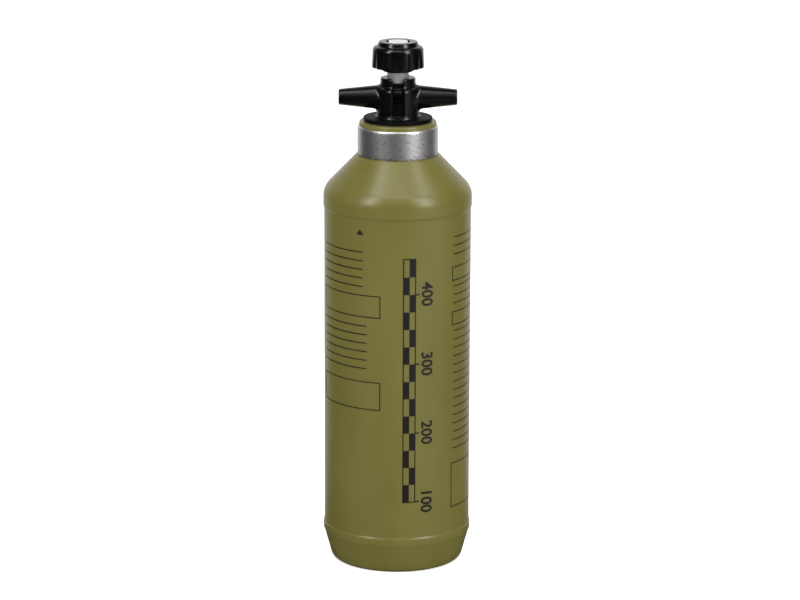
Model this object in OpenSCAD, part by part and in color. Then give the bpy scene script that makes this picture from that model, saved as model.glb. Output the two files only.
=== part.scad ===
// Camping fuel bottle with a press-to-pour valve.
// Millimetres. The origin is the middle of the face the bottle stands on, +Z up.
// The valve's two arms lie along X, and its front groove faces -Y.

/* [Bottle] */
// Diameter of the straight panel
panel_d = 66; // [60:0.5:80]
// Height of the panel's lower edge
panel_foot_z = 17.6; // [16:0.2:24]
// Length of the straight panel
panel_len = 146; // [80:1:200]
// Height by which the bands above and below the panel stand out
band_proud = 0.4; // [0.2:0.1:0.8]
// Height of the band below the panel
foot_band_h = 4; // [2:0.5:6]
// Height of the band above the panel
shoulder_band_h = 4.2; // [2:0.2:8]
// Blown wall thickness
wall = 1.4; // [1:0.1:2]
// Slope of the tapered foot, in degrees off the vertical
foot_taper = 15; // [8:1:20]
// Rounding of the heel
heel_r = 3.2; // [2.4:0.2:5]
// Width of the ring that the bottle stands on
stand_ring_w = 3; // [2:0.5:5]
// Rise of the pushed-up base
push_up = 3.4; // [2:0.2:6]
// Slope of the shoulder, in degrees off the vertical
shoulder_slope = 44; // [38:1:50]
// Rounding between the upper band and the shoulder
shoulder_r = 9; // [5:0.5:12]

/* [Neck] */
// Diameter of the neck under the metal collar
neck_d = 34.6; // [33.5:0.1:36]
// Height of the metal collar
collar_h = 13.2; // [10:0.1:16]
// Sheet thickness of the metal collar
collar_t = 0.7; // [0.4:0.1:0.8]
// Height by which the plastic lip stands above the collar
lip_h = 1.9; // [0.8:0.1:2.4]
// Rounding of the lip
lip_round = 0.6; // [0.3:0.1:1]
// Diameter of the neck's bore
bore_d = 26.4; // [26.2:0.1:28]

/* [Valve body] */
// Diameter of the flange
flange_d = 31; // [28.4:0.2:32]
// Thickness of the flange
flange_t = 1.4; // [1.2:0.1:2.4]
// Width of the gasket's ring
gasket_w = 2.4; // [1.8:0.1:2.8]
// Root diameter of the threaded plug
plug_d = 24.4; // [23.6:0.1:25]
// Length of the plug below the flange
plug_len = 12.5; // [11.5:0.5:14]
// Diameter of the column
column_d = 19.1; // [18.6:0.1:20]
// Height of the column above the flange
column_h = 13.6; // [13:0.1:16]
// Rounding of the column's top edge
column_round = 1.6; // [1:0.1:1.9]
// Diameter of the bead round the column's foot
foot_bead_d = 20.2; // [19.8:0.1:21]
// Height of that bead
foot_bead_h = 0.9; // [0.6:0.1:1.2]
// Diameter of the guide neck on top of the column
guide_d = 15.7; // [14.8:0.1:16]
// Height of the guide neck
guide_h = 4.2; // [3.2:0.1:5]
// Wall between the stem's bore and the fuel channels
tube_wall = 1.1; // [0.9:0.1:1.2]
// Wall between the fuel channels and the outside of the column
column_wall = 1.4; // [1.2:0.1:1.6]
// Wall of the threaded plug
plug_wall = 1.7; // [1.2:0.1:2]
// Width of the front and back grooves in the column
groove_w = 5.8; // [5.4:0.1:6.2]
// Depth of the front and back grooves
groove_depth = 3.1; // [2.6:0.1:3.3]

/* [Arms] */
// Width over the two arms, tip to tip
arm_span = 53; // [44:1:64]
// Height of the arms' axis above the flange
arm_rise = 8.8; // [8.6:0.1:9.4]
// Diameter of an arm at the column
arm_root_d = 10; // [9.6:0.1:10.4]
// Diameter of an arm at its tip
arm_tip_d = 7; // [6.4:0.1:8]
// Diameter of the bore through an arm
arm_bore_d = 4.4; // [3:0.1:4.8]
// Rounding of the arm's tip
arm_round = 0.4; // [0.2:0.1:0.8]

/* [Stem] */
// Diameter of the stem
stem_d = 9.6; // [8.8:0.1:9.8]
// Diameter of the rod below it
rod_d = 4; // [3.6:0.1:4.4]
// Travel of the stem when it is pressed
press_travel = 1.5; // [1:0.1:1.8]
// Wall of the guide sleeve on the stem's lower end
sleeve_wall = 1.5; // [1.2:0.1:2]
// Width of the sleeve's two lugs, which keep the stem from turning
lug_w = 4.6; // [4:0.1:4.8]
// Height of the lugs
lug_h = 6.9; // [5:0.1:7.2]
// Radius that the lugs' rounded noses reach
lug_reach = 6.8; // [6.4:0.1:7.2]
// Depth of the lugs' top below the guide neck's rim
lug_drop = 2.2; // [1.4:0.1:2.6]
// Wire thickness of the return spring
wire_d = 0.7; // [0.5:0.05:0.9]
// Turns of the return spring
spring_turns = 6; // [4:1:8]
// Thickness of the rubber ring round the rod
oring_d = 1.6; // [1.2:0.1:1.8]
// Thickness of the washer under the spring
washer_t = 0.6; // [0.4:0.1:0.8]

/* [Valve head] */
// Diameter of the head that closes the channels
head_d = 23.2; // [22.6:0.1:23.6]
// Thickness of the head
head_t = 2; // [1.6:0.1:2.4]
// Thickness of the rubber seal on the head
seal_t = 1.4; // [1:0.1:2]
// Diameter of the screw that holds the head
screw_d = 2; // [1.6:0.1:2.2]
// Length of that screw
screw_len = 6.4; // [5:0.2:8]

/* [Knob] */
// Diameter of the skirt at its foot
knob_d = 23.6; // [22.4:0.1:25]
// Height of the knob
knob_h = 11.6; // [11:0.1:12.6]
// Height of the raised disc on top
knob_disc_h = 1.5; // [1.2:0.1:2]
// Diameter of the raised disc
knob_disc_d = 17.2; // [15.6:0.1:17.6]
// Rounding of the skirt's shoulder
knob_round = 2; // [1.2:0.1:2.2]
// Draft of the skirt, over its radius
knob_draft = 0.4; // [0.1:0.1:0.5]
// Number of grip flutes
flutes = 12; // [8:1:16]
// Depth of a flute
flute_depth = 0.45; // [0.2:0.05:0.7]
// Width of a flute
flute_w = 3.7; // [2.4:0.1:3.9]
// Wall of the skirt
knob_wall = 1.7; // [1.4:0.1:2.2]
// Gap between the thrust ring and the guide neck when the knob is up
knob_gap = 2.8; // [2.7:0.1:4]
// Diameter of the thrust ring
ring_d = 14; // [13.4:0.1:14.4]
// Height by which the thrust ring stands below the skirt
ring_drop = 1.8; // [1.2:0.1:2.4]
// Diameter of the recess in the knob's top
recess_d = 10.6; // [10.4:0.1:11.2]
// Width over the two flats of the cap in that recess
cap_flats = 8.5; // [7.6:0.1:9.4]
// Travel of the knob along the stem from open to locked
lock_travel = 1.2; // [0.8:0.1:1.2]

/* [Hidden] */
$fn = 64;
tiny = 0.01; // overlap that makes a cut clean
over = 1; // length by which a cutting tool runs past a face
slip = 0.05; // radial clearance of a sliding or turning fit
loose = 0.3; // clearance between curved faces that only pass each other
seated = 0.05; // radial clearance of a pushed-on part

panel_r = panel_d / 2;
band_r = panel_r + band_proud;
neck_r = neck_d / 2;
bore_r = bore_d / 2;
step_h = 2 * band_proud; // height over which a band runs out into the panel
panel_top_z = panel_foot_z + panel_len;
foot_band_z = panel_foot_z - foot_band_h;
band_edge = 0.5; // rounding at the lower edge of the foot band

// The shoulder's rounding starts at the band's top and ends where the cone is tangent.
round_z = panel_top_z + step_h + shoulder_band_h;
cone_r = band_r - shoulder_r * (1 - cos(shoulder_slope));
cone_z = round_z + shoulder_r * sin(shoulder_slope);
ledge_w = 1.35; // plastic ledge on which the collar sits
collar_z = cone_z + (cone_r - neck_r - ledge_w) / tan(shoulder_slope);
collar_r = neck_r + seated + collar_t;
collar_top_z = collar_z + collar_h;
lip_z = collar_top_z + lip_h;

gasket_t = 0.5; // thickness of the gasket, squeezed
gasket_inset = 0.4; // depth of the gasket's rim inside the flange's
gasket_gap = 0.4; // clearance between the gasket and the plug
gasket_out_r = flange_d / 2 - gasket_inset;
gasket_in_r = gasket_out_r - gasket_w;
flange_z = lip_z + gasket_t;
flange_top_z = flange_z + flange_t;
flange_round = 0.35;
plug_r = plug_d / 2;
plug_z = flange_z - plug_len;
plug_edge = 0.6; // chamfer at the plug's end
relief_r = min(plug_r, gasket_in_r - gasket_gap); // thread relief inside the gasket
relief_z = flange_z - gasket_t - loose;
column_r = column_d / 2;
column_top_z = flange_top_z + column_h;
guide_r = guide_d / 2;
guide_top_z = column_top_z + guide_h;
guide_round = 0.5;

// The column's rounding meets the guide neck's fillet where both have the same slope.
guide_fillet = 1.1;
bend = column_round + guide_fillet;
bend_a = acos(max(0, bend - column_r + guide_r) / bend);
fillet_z = column_top_z - column_round + bend * sin(bend_a);
arm_z = flange_top_z + arm_rise;

stem_r = stem_d / 2;
rod_r = rod_d / 2;
stem_bore_r = stem_r + slip;
tube_r = stem_bore_r + tube_wall;
channel_r = column_r - column_wall;
channel_head = 0.6; // height of a channel's top above the arm's bore
channel_top_z = arm_z + arm_bore_d / 2 + channel_head;
groove_wall = 1.2; // plastic left between a groove and the channel beside it
channel_web = groove_w / 2 + groove_wall;
plug_web = 1.2; // half the web that parts the channels in the plug
hub_wall = 2.4; // plastic round the rod in the plug
hub_r = rod_r + slip + hub_wall;
groove_r = column_r - groove_depth;
sill_z = flange_top_z + foot_bead_h;

lug_gap = 0.1; // clearance on each side of a lug in its window
lug_top_z = guide_top_z - lug_drop;
lug_z = lug_top_z - lug_h;
nose_r = lug_h / 3; // rounding of a lug's nose
nose_rise = 1.4; // length by which a nose stands out from its lug
window_w = lug_w + 2 * lug_gap;
window_z = lug_z - press_travel - 2 * lug_gap;
sleeve_z = window_z - 0.6;
core_r = stem_r - sleeve_wall; // end of the stem that the sleeve is pushed on
core_flat = 0.5; // depth of the flat that keeps the sleeve from turning on it
floor_depth = 1.5; // depth of the spring's chamber below the flange
floor_z = flange_z - floor_depth;
gland_gap = 0.1; // height to spare over the rubber ring
gland_r = rod_r + slip + oring_d + gland_gap / 5;
gland_z = floor_z - oring_d - gland_gap;
washer_z = floor_z;
washer_r = stem_bore_r - 2 * slip;
spring_z = washer_z + washer_t;
spring_top_z = sleeve_z;
spring_gap = 0.35; // clearance between the spring and the bore round it
spring_r = stem_bore_r - spring_gap - wire_d / 2;

seal_z = plug_z - seal_t;
head_z = seal_z - head_t;
head_r = head_d / 2;
socket_depth = 0.5; // depth to which the rod sits in the head
rod_z = seal_z - socket_depth;
screw_r = screw_d / 2;
screw_head_r = screw_d;

ring_z = guide_top_z + knob_gap;
skirt_z = ring_z + ring_drop;
knob_top_z = skirt_z + knob_h;
knob_r = knob_d / 2;
ring_r = ring_d / 2;
ring_step = 0.9; // width of the ring's shoulder under the knob
ring_spigot_r = ring_r - ring_step;
ring_spigot_h = 1.8;
thread_runout = 0.5; // plain length between the spigot and the stem's thread
thread_z = skirt_z + ring_spigot_h + thread_runout;
thread_depth = 0.3; // depth of the knob's thread, drawn as plain cylinders
thread_r = stem_r - thread_depth;
knob_bore_r = thread_r + loose;
recess_depth = 3.5; // depth of the recess in the knob's top
recess_floor_z = knob_top_z - recess_depth;
cap_base_t = 0.9; // height of the cap's round base under its flats
cap_z = recess_floor_z + 2 * slip;
cap_gap = 0.25; // clearance between the cap and the recess
cap_r = recess_d / 2 - cap_gap;
cap_pin_r = 1.5;
cap_pin_len = 5;
ring_key_w = 1.6; // key that keeps the thrust ring from turning on the stem
ring_key_depth = 0.5;

// Points along an arc about c, from angle a to angle b in n steps
function arc(c, r, a, b, n) =
    [for (i = [0:n]) c + r * [cos(a + (b - a) * i / n), sin(a + (b - a) * i / n)]];

// The blown shell's outline, inset by t from its outer face. The foot's taper runs
// up to the lower band, and the heel is tangent to it and to the standing face.
function foot_line(t) =
    cos(foot_taper) * (band_r - band_proud) - sin(foot_taper) * foot_band_z - t;
function heel_c() = [
    (foot_line(0) - heel_r * (1 - sin(foot_taper))) / cos(foot_taper), heel_r
];
stand_in_r = heel_c()[0] - stand_ring_w;

function base_pts(t) = concat(
    [for (i = [0:6]) [stand_in_r * i / 6, t + push_up * (1 - pow(i / 6, 2.4))]],
    arc(heel_c(), heel_r - t, -90, -foot_taper, 5)
);

function outer_pts() = concat(
    base_pts(0),
    [[panel_r, foot_band_z - band_edge]],
    [[band_r - 0.1, foot_band_z], [band_r, foot_band_z + band_edge]],
    [[band_r, panel_foot_z - step_h], [panel_r, panel_foot_z]],
    [[panel_r, panel_top_z], [band_r, panel_top_z + step_h]],
    arc([band_r - shoulder_r, round_z], shoulder_r, 0, shoulder_slope, 8),
    [[neck_r + ledge_w, collar_z], [neck_r, collar_z]],
    arc([neck_r - lip_round, lip_z - lip_round], lip_round, 0, 90, 4),
    [[bore_r, lip_z]]
);

// The cone's inner face meets the bore where the wall has its full thickness.
function bore_end_z() =
    cone_z + (cone_r - wall / cos(shoulder_slope) - bore_r) / tan(shoulder_slope);
function inner_pts() = concat(
    [[bore_r, bore_end_z()]],
    arc([band_r - shoulder_r, round_z], shoulder_r - wall, shoulder_slope, 0, 8),
    [[panel_r - wall, panel_top_z], [panel_r - wall, panel_foot_z]],
    [[panel_r - wall, foot_band_z]],
    [for (p = [len(base_pts(wall)) - 1:-1:0]) base_pts(wall)[p]]
);

// Blow-moulded bottle: panel between two bands, tapered foot, 45-degree shoulder
module bottle_body() {
    color("#82803f") rotate_extrude() polygon(concat(outer_pts(), inner_pts()));
}

// Drawn metal band pushed over the neck, its edges turned slightly inwards
module neck_collar() {
    in_r = neck_r + seated;
    edge = 0.25;
    color("#a3a3a5") rotate_extrude() polygon([
        [in_r, collar_z], [collar_r - edge, collar_z], [collar_r, collar_z + edge],
        [collar_r, collar_top_z - 2 * edge], [collar_r - edge, collar_top_z],
        [in_r, collar_top_z]
    ]);
}

module flange_gasket() {
    color("#1c1c1c") translate([0, 0, lip_z]) difference() {
        cylinder(r = gasket_out_r, h = gasket_t);
        translate([0, 0, -over]) cylinder(r = gasket_in_r, h = gasket_t + 2 * over);
    }
}

// One hollow arm along +X, from inside the column's wall out to its rounded tip
module arm_outside() {
    root_x = tube_r;
    taper = (arm_root_d - arm_tip_d) / 2 / (arm_span / 2 - column_r);
    root_r = arm_root_d / 2 + taper * (column_r - root_x);
    translate([0, 0, arm_z]) rotate([0, 90, 0]) rotate_extrude() polygon([
        [0, root_x], [root_r, root_x],
        [arm_tip_d / 2 + taper * arm_round, arm_span / 2 - arm_round],
        [arm_tip_d / 2 - arm_round, arm_span / 2], [0, arm_span / 2]
    ]);
}

module arm_bore() {
    translate([0, 0, arm_z]) rotate([0, 90, 0]) translate([0, 0, tube_r + 0.4])
        cylinder(r = arm_bore_d / 2, h = arm_span);
}

// The outside of the moulding: flange, beaded column, guide neck and plug
module valve_outside() {
    rotate_extrude() polygon(concat(
        [[0, plug_z], [plug_r - plug_edge, plug_z], [plug_r, plug_z + plug_edge]],
        [[plug_r, relief_z - plug_r + relief_r], [relief_r, relief_z], [relief_r, flange_z]],
        [[flange_d / 2 - flange_round, flange_z], [flange_d / 2, flange_z + flange_round]],
        [[flange_d / 2, flange_top_z - flange_round]],
        [[flange_d / 2 - flange_round, flange_top_z]],
        [[foot_bead_d / 2, flange_top_z]],
        arc([foot_bead_d / 2 - foot_bead_h / 2, sill_z - foot_bead_h / 2],
            foot_bead_h / 2, 0, 90, 3),
        [[column_r, sill_z]],
        arc([column_r - column_round, column_top_z - column_round],
            column_round, 0, bend_a, 5),
        arc([guide_r + guide_fillet, fillet_z], guide_fillet, 180 + bend_a, 180, 4),
        arc([guide_r - guide_round, guide_top_z - guide_round], guide_round, 0, 90, 3),
        [[0, guide_top_z]]
    ));
}

// One of the two channels, which rise from the plug's end to the arm on their side
module channel() {
    intersection() {
        translate([plug_web, -plug_r, plug_z - over])
            cube([plug_r, plug_d, floor_z - 1 - plug_z + over]);
        difference() {
            translate([0, 0, plug_z - over]) cylinder(r = plug_r - plug_wall, h = plug_len);
            translate([0, 0, plug_z - 2 * over]) cylinder(r = hub_r, h = plug_len + 2 * over);
        }
    }
    intersection() {
        translate([channel_web, -column_r, floor_z - 4])
            cube([column_r, column_d, channel_top_z - floor_z + 4]);
        difference() {
            translate([0, 0, floor_z - 4]) cylinder(r = channel_r, h = column_h + plug_len);
            translate([0, 0, floor_z - 5]) cylinder(r = tube_r, h = column_h + plug_len);
        }
    }
}

// A groove down the column's front, with a narrower window through to the stem above
module front_groove() {
    translate([-window_w / 2, -column_d, window_z])
        cube([window_w, column_d, guide_top_z + over - window_z]);
    translate([-groove_w / 2, -column_d, sill_z])
        cube([groove_w, column_d - groove_r, column_top_z + tiny - sill_z]);
}

// Glass-filled moulding that screws into the neck and carries the two hollow arms
module valve_body() {
    color("#161616") difference() {
        union() {
            valve_outside();
            for (side = [0, 180]) rotate([0, 0, side]) arm_outside();
        }
        translate([0, 0, floor_z])
            cylinder(r = stem_bore_r, h = guide_top_z - floor_z + over);
        translate([0, 0, plug_z - over]) cylinder(r = rod_r + slip, h = plug_len);
        translate([0, 0, gland_z]) cylinder(r = gland_r, h = floor_z - gland_z + tiny);
        for (side = [0, 180]) rotate([0, 0, side]) {
            channel();
            arm_bore();
            front_groove();
        }
    }
}

// Rubber ring that keeps fuel out of the spring's chamber
module guide_seal() {
    color("#242424") translate([0, 0, gland_z + oring_d / 2]) rotate_extrude()
        translate([rod_r + slip + oring_d / 2, 0]) circle(d = oring_d);
}

module spring_washer() {
    color("#c4c4c4") translate([0, 0, washer_z]) difference() {
        cylinder(r = washer_r, h = washer_t);
        translate([0, 0, -over]) cylinder(r = rod_r + loose, h = washer_t + 2 * over);
    }
}

// Compression spring as one swept tube, with closed end coils
module return_spring() {
    sides = 8;
    steps = 18; // rings in a turn
    rings = spring_turns * steps;
    rise = spring_top_z - spring_z - wire_d;
    function lift(i) = spring_z + wire_d / 2 + rise
        * min(1, max(0, (i / rings * spring_turns - 0.75) / (spring_turns - 1.5)));
    function at(i, k) =
        let (a = 360 * i / steps, b = 360 * k / sides, r = spring_r + wire_d / 2 * cos(b))
        [r * cos(a), r * sin(a), lift(i) + wire_d / 2 * sin(b)];
    pts = [for (i = [0:rings], k = [0:sides - 1]) at(i, k)];
    color("#b9bcc0") polyhedron(
        points = pts,
        faces = concat(
            [for (i = [0:rings - 1], k = [0:sides - 1]) [
                i * sides + k, i * sides + (k + 1) % sides,
                (i + 1) * sides + (k + 1) % sides, (i + 1) * sides + k
            ]],
            [[for (k = [sides - 1:-1:0]) k]],
            [[for (k = [0:sides - 1]) rings * sides + k]]
        )
    );
}

// The end of the stem that carries the sleeve, with a flat; clear is room added round it
module stem_core(clear) {
    intersection() {
        translate([0, 0, sleeve_z - clear])
            cylinder(r = core_r + clear, h = lug_top_z - sleeve_z + tiny + 2 * clear);
        translate([-core_r - over, -core_r - over, sleeve_z - over])
            cube([2 * core_r - core_flat + over + clear, 2 * (core_r + over), knob_top_z]);
    }
}

// Acetal stem: threaded end, guided shank, flatted end for the sleeve, rod to the head
module valve_stem() {
    top_z = cap_z;
    color("#8c8e90") difference() {
        union() {
            translate([0, 0, rod_z]) cylinder(r = rod_r, h = lug_top_z - rod_z);
            stem_core(0);
            translate([0, 0, lug_top_z]) cylinder(r = stem_r, h = thread_z - lug_top_z);
            translate([0, 0, thread_z - tiny])
                cylinder(r = thread_r, h = top_z - thread_z + tiny);
        }
        translate([0, 0, top_z - cap_pin_len - 0.3])
            cylinder(r = cap_pin_r + seated, h = cap_pin_len + over);
        translate([0, 0, rod_z - over])
            cylinder(r = screw_r + seated, h = screw_len + over);
        translate([-ring_key_w / 2 - slip, stem_r - ring_key_depth - slip, ring_z - 2 * lock_travel])
            cube([ring_key_w + 2 * slip, stem_r, knob_top_z]);
    }
}

// Black sleeve under the stem's shank; the noses of its two lugs ride in the guide neck's
// windows, and the return spring holds it up
module guide_sleeve() {
    color("#1d1d1d") difference() {
        union() {
            translate([0, 0, sleeve_z]) cylinder(r = stem_r, h = lug_top_z - sleeve_z);
            translate([-lug_w / 2, nose_rise - lug_reach, lug_z])
                cube([lug_w, 2 * (lug_reach - nose_rise), lug_h]);
            for (side = [-1, 1])
                translate([-lug_w / 2, side * (lug_reach - nose_r), lug_z + nose_r])
                    rotate([0, 90, 0]) cylinder(r = nose_r, h = lug_w);
        }
        stem_core(seated);
    }
}

// Round cap with two flats for a spanner; it stops the knob from coming off the stem
module stem_cap() {
    color("#c9cacb") {
        translate([0, 0, cap_z - cap_pin_len]) cylinder(r = cap_pin_r, h = cap_pin_len + tiny);
        translate([0, 0, cap_z]) cylinder(r = cap_r, h = cap_base_t);
        intersection() {
            translate([0, 0, cap_z]) cylinder(r = cap_r, h = knob_top_z - cap_z);
            translate([-cap_flats / 2, -cap_r, cap_z])
                cube([cap_flats, 2 * cap_r, knob_h]);
        }
    }
}

module head_seal() {
    color("#2b2b2b") translate([0, 0, seal_z]) difference() {
        cylinder(r = head_r - 0.3, h = seal_t);
        translate([0, 0, -over]) cylinder(r = rod_r + seated, h = seal_t + 2 * over);
    }
}

// Disc that holds the rubber seal against the plug's end, dished for the screw
module valve_head() {
    color("#3a3a3a") difference() {
        translate([0, 0, head_z]) rotate_extrude() polygon([
            [0, 0], [head_r - 0.8, 0], [head_r, 0.8], [head_r, head_t], [0, head_t]
        ]);
        translate([0, 0, rod_z]) cylinder(r = rod_r + seated, h = head_t);
        translate([0, 0, head_z - over]) cylinder(r = screw_r + seated, h = head_t + over);
        translate([0, 0, head_z - tiny])
            cylinder(r1 = screw_head_r + seated, r2 = screw_r + seated, h = screw_head_r - screw_r);
    }
}

// Countersunk screw up into the rod's end
module head_screw() {
    color("#b5b5b5") {
        translate([0, 0, head_z])
            cylinder(r1 = screw_head_r, r2 = screw_r, h = screw_head_r - screw_r);
        translate([0, 0, head_z + tiny]) cylinder(r = screw_r, h = screw_len);
    }
}

// Ring that bears on the guide neck when the knob is screwed down; a key in the
// stem's keyway keeps it from turning
module thrust_ring() {
    edge = 0.5;
    top_z = skirt_z - 0.1;
    spigot_z = skirt_z + ring_spigot_h;
    color("#1b1b1b") {
        rotate_extrude() polygon([
            [stem_r + slip, ring_z], [ring_r - edge, ring_z], [ring_r, ring_z + edge],
            [ring_r, top_z], [ring_spigot_r, top_z], [ring_spigot_r, spigot_z],
            [stem_r + slip, spigot_z]
        ]);
        translate([-ring_key_w / 2, stem_r - ring_key_depth, ring_z + edge])
            cube([ring_key_w, ring_key_depth + slip + tiny, ring_drop]);
    }
}

// The knob's outside: drafted skirt, rounded shoulder and raised disc
module knob_outside() {
    top_r = knob_r - knob_draft;
    disc_z = knob_top_z - knob_disc_h;
    disc_edge = 0.4;
    rotate_extrude() polygon(concat(
        [[0, skirt_z], [knob_r - 0.3, skirt_z], [knob_r, skirt_z + 0.3]],
        arc([top_r - knob_round, disc_z - 0.3 - knob_round], knob_round, 0, 90, 5),
        [[knob_disc_d / 2 + 0.5, disc_z]],
        arc([knob_disc_d / 2 - disc_edge, knob_top_z - disc_edge], disc_edge, 20, 90, 3),
        [[0, knob_top_z]]
    ));
}

module knob() {
    flute_r = (flute_w * flute_w / 4 + flute_depth * flute_depth) / (2 * flute_depth);
    flute_top_z = knob_top_z - knob_disc_h - knob_round - 1;
    cavity_r = knob_r - knob_wall;
    cavity_top_z = knob_top_z - knob_disc_h - knob_wall - 1.2;
    color("#151515") difference() {
        knob_outside();
        for (i = [0:flutes - 1])
            rotate([0, 0, 360 / flutes * i - 1])
                translate([knob_r + flute_r - flute_depth, 0, skirt_z - over])
                    cylinder(r = flute_r, h = flute_top_z - skirt_z + over, $fn = 48);
        translate([0, 0, skirt_z - over]) difference() {
            cylinder(r = cavity_r, h = cavity_top_z - skirt_z + over);
            cylinder(r = ring_r + 0.4, h = knob_h + 2 * over);
        }
        translate([0, 0, skirt_z - over])
            cylinder(r = ring_spigot_r + slip, h = ring_spigot_h + 0.1 + over);
        translate([0, 0, skirt_z - over]) cylinder(r = knob_bore_r, h = knob_h);
        translate([0, 0, recess_floor_z])
            cylinder(d = recess_d, h = knob_top_z - recess_floor_z + over);
    }
}

bottle_body();
neck_collar();
flange_gasket();
valve_body();
guide_seal();
spring_washer();
return_spring();
valve_stem();
guide_sleeve();
stem_cap();
head_seal();
valve_head();
head_screw();
thrust_ring();
knob();
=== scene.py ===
"""Camping fuel bottle: an olive blow-moulded bottle with a black screw-in pouring valve.

Sizes are millimetres, and each mesh is scaled to metres as it is made. The bottle stands
on z = 0 with its axis on z, the valve's arms lie along x and its front groove faces -y.
"""
import math

import bmesh
import bpy
import numpy as np
from mathutils import Matrix, Vector


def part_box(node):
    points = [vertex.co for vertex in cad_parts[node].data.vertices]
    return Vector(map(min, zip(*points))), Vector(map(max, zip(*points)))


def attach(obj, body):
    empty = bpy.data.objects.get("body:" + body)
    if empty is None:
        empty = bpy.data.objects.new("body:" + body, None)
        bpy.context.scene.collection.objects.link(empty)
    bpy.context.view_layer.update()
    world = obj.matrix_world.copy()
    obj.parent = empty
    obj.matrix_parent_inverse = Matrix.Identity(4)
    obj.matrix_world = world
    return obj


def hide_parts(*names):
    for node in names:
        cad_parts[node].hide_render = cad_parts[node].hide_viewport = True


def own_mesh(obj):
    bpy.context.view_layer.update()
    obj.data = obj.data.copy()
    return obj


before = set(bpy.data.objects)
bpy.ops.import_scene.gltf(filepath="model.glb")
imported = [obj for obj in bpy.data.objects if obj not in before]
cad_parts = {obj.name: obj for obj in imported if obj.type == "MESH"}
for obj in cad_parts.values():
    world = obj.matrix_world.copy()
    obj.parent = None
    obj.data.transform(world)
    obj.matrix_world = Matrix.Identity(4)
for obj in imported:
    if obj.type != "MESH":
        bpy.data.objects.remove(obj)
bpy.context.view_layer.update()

MM = 0.001
scene = bpy.context.scene

# Camera
# Solved from the rings of the bottle in the photograph: a long lens about a metre and a
# half away, looking down on the bottle.
CAMERA_DISTANCE = 1547.0
CAMERA_HEIGHT = 497.5
CAMERA_SIDE = 1.23
CAMERA_PITCH = 13.712
CAMERA_ROLL = 0.20
FOCAL_PIXELS = 3519.0
PHOTO_WIDTH = 800

camera_data = bpy.data.cameras.new("camera")
camera = bpy.data.objects.new("camera", camera_data)
scene.collection.objects.link(camera)
camera_data.sensor_fit = "HORIZONTAL"
camera_data.sensor_width = 36.0
camera_data.lens = FOCAL_PIXELS / PHOTO_WIDTH * camera_data.sensor_width
camera_data.clip_end = 20.0
camera.matrix_world = (
    Matrix.Translation(Vector((CAMERA_SIDE, -CAMERA_DISTANCE, CAMERA_HEIGHT)) * MM)
    @ Matrix.Rotation(math.radians(90 - CAMERA_PITCH), 4, "X")
    @ Matrix.Rotation(math.radians(CAMERA_ROLL), 4, "Z")
)
scene.camera = camera

# Studio
# A white table and room, a tall soft box on each side that leans over the bottle, and small
# boxes above it, high on both sides and in front. The room in front is dark to the gloss. The
# table's reflection is painted: to glossy rays it glows dark in front and white behind, with a
# painted pool of light by the right box.
FLOOR_SIZE = 6.0
FLOOR_WHITE = "#F4F4F4"
FLOOR_GLOW = 0.55
FLOOR_FRONT = 0.035
# The glow of the painted pool of light that glossy rays see on the table, and the pool's place and size.
PAINTED_POOL_GLOW = 0.65
PAINTED_POOL_PLACE = (-0.88, 0.69, 0.0)
PAINTED_POOL_SCALE = (1.45, 1.45, 1.0)
ROOM_FRONT = 0.03
SKY_LIGHT = 0.48
# What the gloss sees goes from dark to white over these y parts of a bearing.
FLOOR_FADE = (0.5, 0.95)
ROOM_FADE = (0.45, 0.9)
# Lamps are (name, place, height that they face, width, height, watts), in metres.
LAMPS = [
    ("right_box", (0.88, -0.86, 0.80), 0.2, 0.36, 1.3, 12.5),
    ("left_box", (-0.86, -0.84, 0.92), 0.2, 0.28, 1.2, 10.2),
    ("top_box", (0.0, -0.5, 1.3), 0.2, 0.6, 0.4, 2.4),
    ("high_right", (0.60, -0.10, 1.38), 0.17, 0.34, 0.36, 2.2),
    ("high_left", (-0.46, -0.20, 1.42), 0.17, 0.30, 0.32, 2.2),
    ("front_box", (0.0, -1.15, 1.10), 0.2, 0.9, 0.35, 0.8),
]


def linear(code):
    """Turns an sRGB hex colour into the linear RGBA that shaders take."""
    parts = [int(code[i:i + 2], 16) / 255 for i in (1, 3, 5)]
    return tuple([p / 12.92 if p <= 0.04045 else ((p + 0.055) / 1.055) ** 2.4 for p in parts] + [1.0])


def add(tree, kind, inputs=None, **settings):
    """Adds a node. Inputs maps a socket's name or number to a value, to a linked socket, or to
    a node whose first output is linked."""
    node = tree.nodes.new(kind)
    for key, value in settings.items():
        setattr(node, key, value)
    for key, value in (inputs or {}).items():
        if isinstance(value, bpy.types.Node):
            value = value.outputs[0]
        if isinstance(value, bpy.types.NodeSocket):
            tree.links.new(value, node.inputs[key])
        else:
            node.inputs[key].default_value = value
    return node


def ramp(tree, source, stops):
    """Adds a colour ramp; stops are (place, hex colour)."""
    node = add(tree, "ShaderNodeValToRGB", {0: source})
    band = node.color_ramp
    while len(band.elements) < len(stops):
        band.elements.new(0.5)
    for element, (place, code) in zip(band.elements, stops):
        element.position = place
        element.color = linear(code)
    return node


def calc(tree, operation, *values):
    """Adds a maths node that works on the given values."""
    return add(tree, "ShaderNodeMath", dict(enumerate(values)), operation=operation)


def remap(tree, value, low, high, to_low, to_high):
    """Adds a node that takes low to high of a value to another range and stops at its ends."""
    return add(tree, "ShaderNodeMapRange", {"Value": value, "From Min": low, "From Max": high,
                                            "To Min": to_low, "To Max": to_high})


def start_material(name):
    """An empty material, its node tree, and the socket with the place on the object in metres."""
    material = bpy.data.materials.new(name)
    material.use_nodes = True
    tree = material.node_tree
    tree.nodes.clear()
    return material, tree, add(tree, "ShaderNodeTexCoord").outputs["Object"]


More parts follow.
